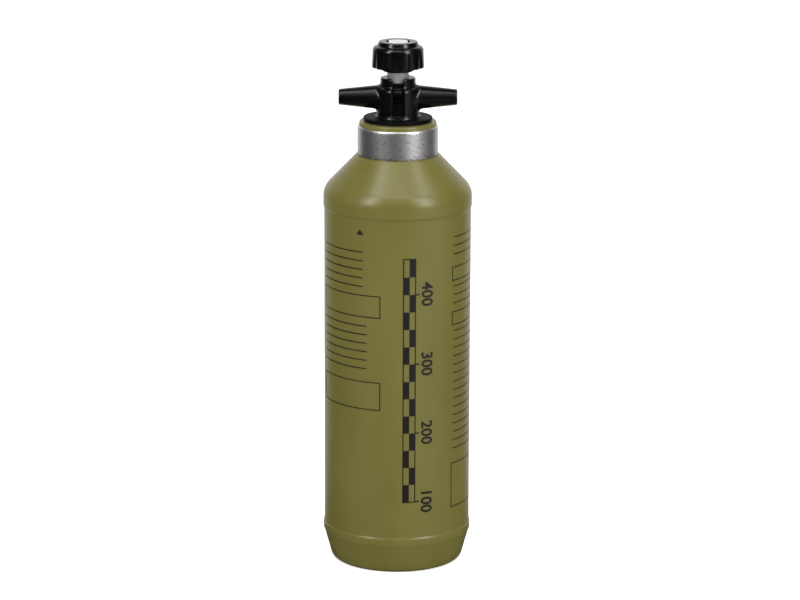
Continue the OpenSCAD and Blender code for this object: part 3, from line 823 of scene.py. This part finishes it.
def turned(p, outline, step=0.1):
    """Distance to a form turned round the z axis, looked up in a table of its (r, z) section."""
    reach = np.hypot(p[0], p[1]).max() + 2 * step
    gr, gz = np.meshgrid(np.arange(0, reach, step), p[2][0, 0], indexing="ij")
    nearest = np.full(gr.shape, 1e9)
    inside = np.zeros(gr.shape, bool)
    for (x0, y0), (x1, y1) in zip(outline, outline[1:] + outline[:1]):
        dx, dy = x1 - x0, y1 - y0
        if dx == dy == 0:
            continue
        t = np.clip(((gr - x0) * dx + (gz - y0) * dy) / (dx * dx + dy * dy), 0, 1)
        nearest = np.minimum(nearest, np.hypot(gr - x0 - t * dx, gz - y0 - t * dy))
        if dy != 0:
            inside ^= ((y0 > gz) != (y1 > gz)) & (gr < x0 + (gz - y0) * dx / dy)
    table = np.where(inside, -nearest, nearest)
    radius = np.hypot(p[0][:, :, 0], p[1][:, :, 0]) / step
    k = radius.astype(int)
    part = (radius - k)[:, :, None]
    return table[k] * (1 - part) + table[k + 1] * part


def join(a, b, blend=0.0):
    """The two forms together, with a fillet about blend wide where they meet."""
    if blend == 0:
        return np.minimum(a, b)
    near = np.maximum(blend - abs(a - b), 0) / blend
    return np.minimum(a, b) - near * near * blend / 4


def cut(a, b, blend=0.0):
    """Form a with form b taken out, its edges eased over blend."""
    return -join(-a, b, blend)


def skin(name, field, low, cell, material):
    """The surface where a sampled field is zero, as quads with one point in each crossed cell."""
    inner = field < 0
    shape = tuple(n - 1 for n in field.shape)
    total = np.zeros(shape + (3,), np.float32)
    count = np.zeros(shape, np.int8)
    quads = []
    for axis in range(3):
        u, v = [k for k in range(3) if k != axis]
        one = [slice(None)] * 3
        two = [slice(None)] * 3
        one[axis], two[axis] = slice(0, -1), slice(1, None)
        a, b = field[tuple(one)], field[tuple(two)]
        crossed = inner[tuple(one)] != inner[tuple(two)]
        t = np.where(crossed, a / np.where(crossed, a - b, 1), 0)
        for du in (0, 1):
            for dv in (0, 1):
                part = [slice(None)] * 3
                part[u] = slice(du, du + shape[u])
                part[v] = slice(dv, dv + shape[v])
                hit = crossed[tuple(part)]
                count += hit
                total[..., axis] += t[tuple(part)]
                total[..., u] += hit * du
                total[..., v] += hit * dv
        edges = np.argwhere(crossed)
        edges = edges[(edges[:, u] > 0) & (edges[:, v] > 0)]
        edges = edges[(edges[:, u] < shape[u]) & (edges[:, v] < shape[v])]
        corners = np.repeat(edges[:, None, :], 4, 1)
        corners[:, (1, 2), u] -= 1
        corners[:, (2, 3), v] -= 1
        outward = inner[tuple(edges.T)] ^ (axis == 1)
        corners[~outward] = corners[~outward][:, ::-1]
        quads.append(corners.reshape(-1, 3))
    active = count > 0
    number = np.cumsum(active.ravel()).reshape(shape) - 1
    points = (np.argwhere(active) + total[active] / count[active][:, None]) * cell + np.array(low)
    faces = number[tuple(np.concatenate(quads).T)].reshape(-1, 4)
    mesh = bpy.data.meshes.new(name)
    mesh.from_pydata((points * MM).tolist(), [], faces.tolist())
    return finish_mesh(name, mesh, material)


def black_nylon(name, roughness, dull_z=None):
    """Glass-filled nylon: black, glossy from the polished mould, with a very fine orange peel.

    dull_z is the (low, high) height of a face that an eroded mould leaves dull, if any."""
    material, tree, place = start_material(name)
    smear = noise(tree, place, 120.0, 3.0)
    colour = ramp(tree, smear, [(0.3, "#020202"), (0.75, "#060606")])
    rough = remap(tree, smear, 0.3, 0.7, roughness - 0.02, roughness + 0.03)
    shine = NYLON_SHINE
    if dull_z is not None:
        axes = add(tree, "ShaderNodeSeparateXYZ", {0: place})
        dull = calc(tree, "COMPARE", axes.outputs["Z"], (dull_z[0] + dull_z[1]) / 2 * MM,
                    (dull_z[1] - dull_z[0]) / 2 * MM)
        rough = add(tree, "ShaderNodeMix", {0: dull, 2: rough, 3: DULL_ROUGH})
        shine = add(tree, "ShaderNodeMix", {0: dull, 2: NYLON_SHINE, 3: DULL_SHINE})
    peel = bump(tree, noise(tree, place, 900.0, 2.0), 0.06, 0.00003)
    return principled(material, {"Base Color": colour, "Roughness": rough, "IOR": 1.53,
                                 "Specular IOR Level": shine, "Normal": peel})


def valve_outline():
    """The moulding's section without its arms. The column's rounding runs straight into the
    guide neck's fillet, so both end on the slanting line that touches them."""
    both = COLUMN_ROUND + GUIDE_FILLET
    bend = math.acos((both - COLUMN_R + GUIDE_R) / both)
    round_z = COLUMN_TOP - COLUMN_ROUND
    fillet_z = round_z + both * math.sin(bend)
    return rounded([
        (-PAST, PLUG_Z, 0), (PLUG_R, PLUG_Z, 0.6), (PLUG_R, FLANGE_Z, 0), (FLANGE_R, FLANGE_Z, 0.35),
        (FLANGE_R, FLANGE_TOP, 0.35), (BEAD_R, FLANGE_TOP, 0.15), (BEAD_R, SILL_Z, 0.4),
        (COLUMN_R, SILL_Z, 0.12),
        (COLUMN_R, round_z + COLUMN_ROUND * math.tan(bend / 2), COLUMN_ROUND),
        (GUIDE_R, fillet_z - GUIDE_FILLET * math.tan(bend / 2), GUIDE_FILLET),
        (GUIDE_R, GUIDE_TOP, 0.5), (-PAST, GUIDE_TOP, 0),
    ], step=0.15)


def arms(p):
    """The two tapered arms as one form, from the column out to their rounded tips."""
    across = np.hypot(p[1], p[2] - ARM_Z)
    taper = (ARM_ROOT_R - ARM_TIP_R) / (ARM_TIP_X - COLUMN_R)
    side = (across - ARM_TIP_R - (ARM_TIP_X - abs(p[0])) * taper) * math.cos(math.atan(taper))
    return cut(side, ARM_TIP_X - abs(p[0]), ARM_TIP_ROUND)


def channels(p):
    """The two channels on each side, from the plug's end up to the arms' bores."""
    radius = np.hypot(p[0], p[1])
    plug = np.maximum(radius - PLUG_CHANNEL_R[1], PLUG_CHANNEL_R[0] - radius)
    plug = np.maximum(np.maximum(plug, PLUG_WEB - abs(p[0])), p[2] - BORE_FLOOR_Z + PLUG_CHANNEL_ROOF)
    rise = np.maximum(radius - CHANNEL_R[1], CHANNEL_R[0] - radius)
    level = abs(p[2] - CHANNEL_TOP + CHANNEL_HALF_H) - CHANNEL_HALF_H
    rise = np.maximum(np.maximum(rise, CHANNEL_WEB - abs(p[0])), level)
    across = np.hypot(p[1], p[2] - ARM_Z)
    return join(join(plug, rise), np.maximum(across - ARM_BORE_R, ARM_BORE_X - abs(p[0])))


def make_valve_body():
    low, p = grid_round(ARM_TIP_X, FLANGE_R, PLUG_Z, GUIDE_TOP, VALVE_CELL)
    body = join(turned(p, valve_outline()), arms(p), ARM_FILLET)
    body = cut(body, disc(p, STEM_BORE_R, BORE_FLOOR_Z, GUIDE_TOP + PAST), BORE_EASE)
    body = cut(body, disc(p, GLAND_R, BORE_FLOOR_Z - GLAND_H, BORE_FLOOR_Z + 1))
    body = cut(body, disc(p, ROD_BORE_R, PLUG_Z - PAST, BORE_FLOOR_Z))
    body = cut(body, channels(p), CHANNEL_EASE)
    folded = [p[0], abs(p[1]), p[2]]
    window = block(folded, (-WINDOW_W / 2, -1, WINDOW_Z), (WINDOW_W / 2, FAR_Y, GUIDE_TOP + PAST),
                   GROOVE_ROUND)
    groove = block(folded, (-GROOVE_W / 2, GROOVE_R, SILL_Z), (GROOVE_W / 2, FAR_Y, COLUMN_TOP), GROOVE_ROUND)
    body = cut(body, join(window, groove), GROOVE_EASE)
    nylon = black_nylon("black_nylon", 0.24, (FLANGE_Z, FLANGE_TOP + 0.1))
    return skin("valve_moulding", body, low, VALVE_CELL, nylon)


valve = make_valve_body()
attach(valve, "valve")
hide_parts("valve_body")
plug_thread = thread_ridge("plug_thread", PLUG_R, PLUG_RIDGE_H, THREAD_PITCH, PLUG_TURNS, PLUG_RIDGE_Z,
                           THREAD_FOOT_W, THREAD_CREST_W, valve.data.materials[0])
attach(plug_thread, "valve")

# Spring and washer
# A stainless compression spring round the rod, standing on a stamped washer that also
# holds the rubber ring in its gland. Both are bright drawn and stamped steel. The spring's
# end coils are closed, and it shortens between the washer and the sleeve at each press.
SPRING_LOW, SPRING_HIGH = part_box("return_spring")
WIRE_R = 0.35 * MM
SPRING_TURNS = 6.0
COIL_STEPS = 36
WIRE_SIDES = 12
FLAT_TURN = 0.75


def spring_steel():
    material, tree, place = start_material("stainless_wire")
    colour = ramp(tree, noise(tree, place, 2400.0, 2.0), [(0.3, "#A9ABAE"), (0.7, "#C6C8CA")])
    return principled(material, {"Base Color": colour, "Metallic": 1.0, "Roughness": 0.3})


def make_spring(material):
    """Round wire along a helix that starts and ends with three quarters of a flat coil."""
    sizes = {"Coil radius": SPRING_HIGH[0] - WIRE_R, "Wire radius": WIRE_R, "Turns": SPRING_TURNS,
             "Foot": SPRING_LOW[2] + WIRE_R, "Head": SPRING_HIGH[2] - WIRE_R, "Flat part": FLAT_TURN}
    tree, size = start_tree("coil_spring", sizes)
    line = add(tree, "GeometryNodeMeshLine", {"Count": int(SPRING_TURNS * COIL_STEPS) + 1}, mode="OFFSET")
    path = add(tree, "GeometryNodeMeshToCurve", {0: line})
    part = add(tree, "GeometryNodeSplineParameter")
    swept = calc(tree, "MULTIPLY", part.outputs["Factor"], size["Turns"])
    angle = calc(tree, "MULTIPLY", swept, 2 * math.pi)
    last = calc(tree, "SUBTRACT", size["Turns"], size["Flat part"])
    height = remap(tree, swept, size["Flat part"], last, size["Foot"], size["Head"])
    out = vector(tree, size["Coil radius"], z=height)
    spot = add(tree, "ShaderNodeVectorRotate", {"Vector": out, "Angle": angle}, rotation_type="Z_AXIS")
    helix = add(tree, "GeometryNodeSetPosition", {"Geometry": path, "Position": spot})
    level = add(tree, "GeometryNodeSetCurveNormal", {0: helix}, mode="Z_UP")
    section = add(tree, "GeometryNodeCurvePrimitiveCircle", {"Resolution": WIRE_SIDES,
                                                             "Radius": size["Wire radius"]})
    wire = add(tree, "GeometryNodeCurveToMesh", {"Curve": level, "Profile Curve": section, "Fill Caps": True})
    end_tree(tree, wire, material)
    return grow("spring_wire", tree, sizes, material)


steel = spring_steel()
for name in ("spring_washer", "head_screw"):
    dress(name, steel)
spring = make_spring(steel)
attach(spring, "valve")
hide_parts("return_spring")
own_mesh(spring)

# Stem
# Turned from grey acetal: a guided shank with a keyway down its back, a threaded top for
# the knob, a flatted end that carries the guide sleeve and a thin rod down to the head.
STEM_CELL = 0.2
STEM_R = 4.8
CORE_R = 3.3
CORE_FLAT = 0.5
THREAD_R = 4.5
STEM_PITCH = 3.2
STEM_TOP_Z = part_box("valve_stem")[1][2] / MM
THREAD_Z = STEM_TOP_Z - 5.9
STEM_TURNS = 1.3
STEM_RIDGE_Z = THREAD_Z + 0.9
STEM_RIDGE_H = 0.22
STEM_FOOT_W, STEM_CREST_W = 1.3, 0.6
ROD_R = 2.0
ROD_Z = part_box("valve_stem")[0][2] / MM
SLEEVE_Z, LUG_TOP_Z = (corner[2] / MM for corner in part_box("guide_sleeve"))
KEYWAY_W, KEYWAY_DEPTH = 1.7, 0.55
KEYWAY_Z = STEM_TOP_Z - 12.4


def acetal(name, dark, light, roughness):
    """Acetal: dense and slightly waxy, with a satin surface from the tool."""
    material, tree, place = start_material(name)
    colour = ramp(tree, noise(tree, place, 350.0, 3.0), [(0.3, dark), (0.7, light)])
    rings = add(tree, "ShaderNodeTexWave", {"Vector": place, "Scale": 900.0, "Distortion": 0.5},
                bands_direction="Z")
    bumps = bump(tree, rings.outputs["Fac"], 0.15, 0.00002)
    return principled(material, {"Base Color": colour, "Roughness": roughness, "IOR": 1.48, "Normal": bumps})


def stem_core(p, clear):
    """The flatted end under the shank; clear is the room that the sleeve leaves round it."""
    core = disc(p, CORE_R + clear, SLEEVE_Z - clear, LUG_TOP_Z + 0.3 + clear)
    return np.maximum(core, p[0] - CORE_R + CORE_FLAT - clear)


def make_stem():
    low, p = grid_round(STEM_R, STEM_R, ROD_Z, STEM_TOP_Z, STEM_CELL)
    rod = disc(p, ROD_R, ROD_Z, LUG_TOP_Z, 0.2)
    shank = turned(p, rounded([
        (-PAST, LUG_TOP_Z, 0), (STEM_R, LUG_TOP_Z, 0.1), (STEM_R, THREAD_Z, 0.1), (THREAD_R, THREAD_Z, 0.1),
        (THREAD_R, STEM_TOP_Z, 0.3), (-PAST, STEM_TOP_Z, 0),
    ], step=0.15))
    keyway = block(p, (-KEYWAY_W / 2, STEM_R - KEYWAY_DEPTH, KEYWAY_Z), (KEYWAY_W / 2, 9, STEM_TOP_Z + PAST))
    body = cut(join(join(rod, stem_core(p, 0)), shank), keyway, 0.15)
    return skin("stem_turning", body, low, STEM_CELL, acetal("grey_acetal", "#86888A", "#929496", 0.42))


stem = make_stem()
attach(stem, "stem")
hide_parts("valve_stem")
stem_thread = thread_ridge("stem_thread", THREAD_R, STEM_RIDGE_H, STEM_PITCH, STEM_TURNS, STEM_RIDGE_Z,
                           STEM_FOOT_W, STEM_CREST_W, stem.data.materials[0])
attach(stem_thread, "stem")

# Guide sleeve
# A black nylon sleeve pushed on the stem's flatted end, where the spring holds it up. The
# rounded noses of its two lugs ride in the guide neck's windows and keep the stem from
# turning.
SLEEVE_CELL = 0.16
SEATED = 0.05
SPRING_GAP = 0.06
LUG_W = 4.6
LUG_Z = LUG_TOP_Z - 6.9
LUG_Y = 5.4
NOSE_Y = 4.5
NOSE_R = 2.3
NOSE_ROUND = 0.9
LUG_ROUND, LUG_BLEND = 0.4, 0.8


def make_sleeve():
    low, p = grid_round(STEM_R, NOSE_Y + NOSE_R, SLEEVE_Z, LUG_TOP_Z, SLEEVE_CELL)
    tube = disc(p, STEM_R, SLEEVE_Z + SPRING_GAP, LUG_TOP_Z, 0.1)
    lugs = block(p, (-LUG_W / 2, -LUG_Y, LUG_Z), (LUG_W / 2, LUG_Y, LUG_TOP_Z), LUG_ROUND)
    sideways = [p[2] - LUG_Z - NOSE_R, abs(p[1]) - NOSE_Y, p[0]]
    nose = disc(sideways, NOSE_R, -LUG_W / 2, LUG_W / 2, NOSE_ROUND)
    body = join(tube, join(lugs, nose, LUG_BLEND))
    body = cut(body, stem_core(p, SEATED))
    return skin("sleeve_moulding", body, low, SLEEVE_CELL, black_nylon("black_nylon_sleeve", 0.26))


sleeve = make_sleeve()
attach(sleeve, "stem")
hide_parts("guide_sleeve")

# Valve head
# A dark acetal disc that a countersunk screw draws against the rod's end. It carries the
# rubber disc that shuts the two channels, and it hides inside the neck.
dress("valve_head", acetal("dark_acetal", "#2C2C2C", "#363636", 0.45))

# Thrust ring
# A black nylon ring snapped under the knob. It slides on the stem with a key, so that it
# presses on the guide neck without turning as the knob is screwed down.
RING_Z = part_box("thrust_ring")[0][2] / MM
RING_R = 7.0
RING_SPIGOT_R = 6.1
RING_BORE_R = 4.85
SKIRT_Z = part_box("knob")[0][2] / MM
SPIGOT_H = 1.8

ring = lathe("ring_turning", rounded([
    (RING_BORE_R, RING_Z, 0.2), (RING_R, RING_Z, 0.6), (RING_R, SKIRT_Z - 0.1, 0.1),
    (RING_SPIGOT_R, SKIRT_Z - 0.1, 0.1), (RING_SPIGOT_R, SKIRT_Z + SPIGOT_H, 0.1),
    (RING_BORE_R, SKIRT_Z + SPIGOT_H, 0.1),
], step=0.1), black_nylon("black_nylon_ring", 0.3), steps=128)
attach(ring, "ring")
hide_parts("thrust_ring")

# Knob
# A hollow moulding in the same nylon, with a drafted skirt, arched grip flutes that end
# under a rounded shoulder, and a raised disc with a recess for the stem's cap.
KNOB_CELL = 0.2
KNOB_R = 11.8
KNOB_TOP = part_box("knob")[1][2] / MM
KNOB_DRAFT = 0.4
SHOULDER_Z = KNOB_TOP - 1.5
SHOULDER_ROUND = 2.0
SHOULDER_SINK = 0.5
DISC_R = 8.6
KNOB_WALL = 1.7
CAVITY_TOP = SHOULDER_Z - 2.9
FLUTES = 12
FLUTE_W = 3.7
FLUTE_DEPTH = 0.45
FLUTE_PHASE = 1.0
FLUTE_EASE = 0.3
FLUTE_TOP = SHOULDER_Z - 2.8
RECESS_R = 5.3
RECESS_FLOOR = KNOB_TOP - 3.5
KNOB_BORE_R = 4.9


def flutes(p):
    """Grip flutes round the skirt, each ending in an arch."""
    pitch = 2 * math.pi / FLUTES
    angle = np.arctan2(p[1], p[0]) + math.radians(FLUTE_PHASE)
    near = (angle + pitch / 2) % pitch - pitch / 2
    radius = np.hypot(p[0], p[1])
    tool_r = (FLUTE_W ** 2 / 4 + FLUTE_DEPTH ** 2) / (2 * FLUTE_DEPTH)
    tool = np.hypot(radius * np.cos(near) - KNOB_R - tool_r + FLUTE_DEPTH, radius * np.sin(near)) - tool_r
    arch = np.hypot(radius * np.sin(near), np.maximum(p[2] - FLUTE_TOP + FLUTE_W / 2, 0)) - FLUTE_W / 2 - 0.2
    return np.maximum(tool, arch)


def make_knob():
    low, p = grid_round(KNOB_R, KNOB_R, SKIRT_Z, KNOB_TOP, KNOB_CELL)
    spigot_r, spigot_z = RING_SPIGOT_R + 0.05, SKIRT_Z + SPIGOT_H + 0.1
    wall_r, hub_r = KNOB_R - KNOB_WALL, RING_R + 0.4
    body = turned(p, rounded([
        (KNOB_BORE_R, spigot_z, 0.1), (spigot_r, spigot_z, 0.1), (spigot_r, SKIRT_Z, 0.1),
        (hub_r, SKIRT_Z, 0.1), (hub_r, CAVITY_TOP, 0.4),
        (wall_r, CAVITY_TOP, 0.4), (wall_r, SKIRT_Z, 0.2), (KNOB_R, SKIRT_Z, 0.3),
        (KNOB_R - KNOB_DRAFT - 0.1, SHOULDER_Z - SHOULDER_SINK - 0.25, SHOULDER_ROUND),
        (DISC_R + 0.6, SHOULDER_Z - SHOULDER_SINK + 0.1, 0.5),
        (DISC_R, KNOB_TOP, 0.45), (RECESS_R, KNOB_TOP, 0.25), (RECESS_R, RECESS_FLOOR, 0.2),
        (KNOB_BORE_R, RECESS_FLOOR, 0.1),
    ], step=0.12))
    body = cut(body, flutes(p), FLUTE_EASE)
    return skin("knob_moulding", body, low, KNOB_CELL, black_nylon("black_nylon_knob", 0.2))


knob = make_knob()
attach(knob, "grip")
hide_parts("knob")

# Stem cap
# A light acetal plug pressed into the stem's top once the knob is on, with two flats for a
# spanner. It stops the knob from coming off, and it stands proud when the knob is locked.
CAP_CELL = 0.16
CAP_R = 5.05
CAP_FLATS = 8.5
CAP_ROUND = 0.35
CAP_BASE_T = 0.9
CAP_PIN_R = 1.5
CAP_PIN_LEN = 5.0


def make_cap():
    low, p = grid_round(CAP_R, CAP_R, STEM_TOP_Z - CAP_PIN_LEN, KNOB_TOP, CAP_CELL)
    pin = disc(p, CAP_PIN_R, STEM_TOP_Z - CAP_PIN_LEN, STEM_TOP_Z + 1, 0.2)
    base = disc(p, CAP_R, STEM_TOP_Z, STEM_TOP_Z + CAP_BASE_T, 0.1)
    top = disc(p, CAP_R, STEM_TOP_Z, KNOB_TOP, CAP_ROUND)
    flats = abs(p[0]) - CAP_FLATS / 2
    head = cut(top, -flats, CAP_ROUND)
    return skin("cap_plug", join(join(pin, base), head), low, CAP_CELL,
                acetal("light_acetal", "#C4C5C6", "#D0D1D1", 0.4))


cap = make_cap()
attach(cap, "stem")
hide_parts("stem_cap")
